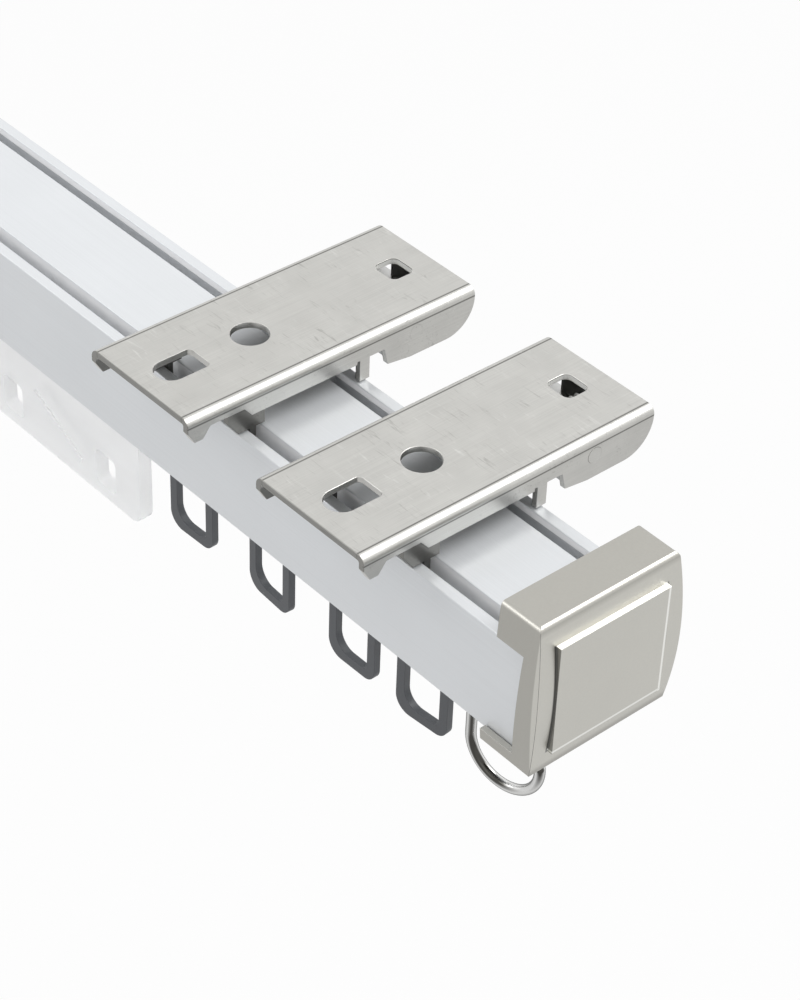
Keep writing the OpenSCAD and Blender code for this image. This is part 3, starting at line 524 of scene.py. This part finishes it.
def wire_hook(side):
    """A wire that hangs from its head, bends round below and ends in a round tip."""
    wire, radius, tip = 2.0 * MM, 7.6 * MM, 0.8 * MM
    head, head_h, head_edge = 3.5 * MM, 0.8 * MM, 0.2 * MM
    sides, bend_steps, tip_steps = 24, 40, 7
    node = f"end_hook_{side}"
    low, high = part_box(node)
    way = 1 if side == "right" else -1
    turn = math.radians(8) * way
    joint = next(j for j in frame["joints"] if j["child"] == node)
    x, y = joint["pos_m"][:2]
    bend = low.z + radius + wire / 2
    head_low = high.z - head_h
    bm = bmesh.new()
    bmesh.ops.create_circle(bm, cap_ends=True, segments=sides, radius=wire / 2)
    bmesh.ops.translate(bm, verts=bm.verts, vec=(0, 0, head_low))
    tips = bm.faces[:]

    def stretch(faces, vec):
        made = bmesh.ops.extrude_face_region(bm, geom=faces)["geom"]
        bmesh.ops.translate(bm, verts=[v for v in made if isinstance(v, bmesh.types.BMVert)], vec=vec)
        bmesh.ops.delete(bm, geom=faces, context="FACES_ONLY")
        return [f for f in made if isinstance(f, bmesh.types.BMFace)]

    tips = stretch(tips, (0, 0, bend - head_low))
    made = bmesh.ops.spin(bm, geom=tips, cent=(way * radius, 0, bend), axis=(0, -way, 0),
                          angle=math.pi, steps=bend_steps)
    bmesh.ops.delete(bm, geom=tips, context="FACES_ONLY")
    tips = [f for f in made["geom_last"] if isinstance(f, bmesh.types.BMFace)]
    tips = stretch(tips, (0, 0, tip))
    centre = Vector((way * 2 * radius, 0, bend + tip))
    angles = [math.pi / 2 * k / tip_steps for k in range(tip_steps)]
    for before, now in zip(angles, angles[1:]):
        tips = stretch(tips, (0, 0, (math.sin(now) - math.sin(before)) * wire / 2))
        rim = {v for f in tips for v in f.verts}
        reach = max((v.co - centre).to_2d().length for v in rim)
        size = math.cos(now) * wire / 2 / reach
        bmesh.ops.scale(bm, verts=list(rim), vec=(size, size, 1), space=Matrix.Translation(-centre))
    top = bmesh.ops.create_cone(bm, cap_ends=True, segments=sides, radius1=head / 2,
                                radius2=head / 2, depth=head_h)["verts"]
    bmesh.ops.translate(bm, verts=top, vec=(0, 0, head_low + head_h / 2))
    rims = {e for v in top for e in v.link_edges if len(e.link_faces) == 2 and e.calc_face_angle(0) > 1}
    bmesh.ops.bevel(bm, geom=list(rims), offset=head_edge, offset_type="OFFSET", segments=3, profile=0.5,
                    affect="EDGES", material=-1)
    bmesh.ops.rotate(bm, verts=bm.verts, cent=(0, 0, 0), matrix=Matrix.Rotation(turn, 3, "Z"))
    bmesh.ops.translate(bm, verts=bm.verts, vec=(x, y, 0))
    bmesh.ops.recalc_face_normals(bm, faces=bm.faces)
    name = node + "_wire"
    stand_in(name, bm, bpy.data.meshes.new(name), node)


for b in (1, 2):
    softened(f"bracket_{b}_plate", 0.22 * MM, 3)
    softened(f"bracket_{b}_latch", 0.15 * MM)
    coiled_spring(f"bracket_{b}_spring")
for side in ("left", "right"):
    wire_hook(side)
for side in ("left", "right"):
    softened(f"end_cap_{side}", 0.3 * MM, 3, first=round_top_edges)
    softened(f"end_stop_{side}", 0.25 * MM)
softened("rail", 0.22 * MM, 3)
for r in (1, 2, 3, 4):
    softened(f"runner_{r}_ring", 0.4 * MM, 3)
    softened(f"runner_{r}_body", 0.2 * MM)
softened("lead_carrier_hanger", 0.3 * MM)
softened("lead_carrier_body", 0.3 * MM)


# Studio
def area_lamp(name, place, aim, size, power):
    data = bpy.data.lights.new(name, "AREA")
    data.shape = "RECTANGLE"
    data.size, data.size_y = size
    data.energy = power
    lamp = bpy.data.objects.new(name, data)
    lamp.location = place
    lamp.rotation_euler = (Vector(place) - Vector(aim)).to_track_quat("Z", "Y").to_euler()
    bpy.context.scene.collection.objects.link(lamp)


def seen_rays(tree):
    """1 for rays that show the background: straight, mirrored or through a clear piece."""
    rays = tree.nodes.new("ShaderNodeLightPath").outputs
    seen = largest(tree, rays["Is Camera Ray"], rays["Is Glossy Ray"], rays["Is Transmission Ray"])
    return rays, seen


def background(tree, strength):
    node = tree.nodes.new("ShaderNodeBackground")
    node.inputs["Color"].default_value = (1, 1, 1, 1)
    node.inputs["Strength"].default_value = strength
    return node.outputs[0]


def mixed_shaders(tree, factor, first, second, out):
    mix = tree.nodes.new("ShaderNodeMixShader")
    for socket, value in zip(mix.inputs, (factor, first, second)):
        tree.links.new(value, socket)
    tree.links.new(mix.outputs[0], out)


def plain_world(level):
    """White where it is seen, and a softer light of the given level elsewhere."""
    world = bpy.data.worlds.new("studio")
    bpy.context.scene.world = world
    world.use_nodes = True
    tree = world.node_tree
    tree.nodes.clear()
    _, seen = seen_rays(tree)
    out = tree.nodes.new("ShaderNodeOutputWorld").inputs[0]
    mixed_shaders(tree, seen, background(tree, level), background(tree, 1.0), out)


def pale_floor(height, dimming):
    """A floor that looks white, a little dimmer in mirror images, and still catches light."""
    bm = bmesh.new()
    bmesh.ops.create_grid(bm, x_segments=1, y_segments=1, size=6.0)
    bmesh.ops.translate(bm, verts=bm.verts, vec=(0, 0, height))
    mesh = bpy.data.meshes.new("floor")
    bm.to_mesh(mesh)
    bm.free()
    floor = bpy.data.objects.new("floor", mesh)
    bpy.context.scene.collection.objects.link(floor)
    mat, tree, shader = new_material("floor_white")
    shader.inputs["Base Color"].default_value = (0.78, 0.78, 0.78, 1)
    shader.inputs["Roughness"].default_value = 0.9
    rays, seen = seen_rays(tree)
    glow = tree.nodes.new("ShaderNodeEmission")
    dimmed = product(tree, rays["Is Glossy Ray"], dimming)
    tree.links.new(math_node(tree, "SUBTRACT", 1.0, dimmed), glow.inputs["Strength"])
    out = tree.nodes["Material Output"].inputs[0]
    mixed_shaders(tree, product(tree, seen, 0.93), shader.outputs[0], glow.outputs[0], out)
    set_material(floor, mat)


place_camera()
plain_world(0.55)
pale_floor(-0.30, 0.16)
area_lamp("over_the_end", (0.33, 0.60, 0.86), (0, 0, 0), (0.8, 0.5), 7)
area_lamp("over_the_room", (-0.62, -0.66, 0.56), (0, 0, 0), (0.7, 0.5), 2.4)
area_lamp("from_the_room", (0.35, -0.95, 0.45), (0, 0, -0.02), (0.9, 0.6), 0.8)
bpy.context.scene.view_settings.view_transform = "Standard"
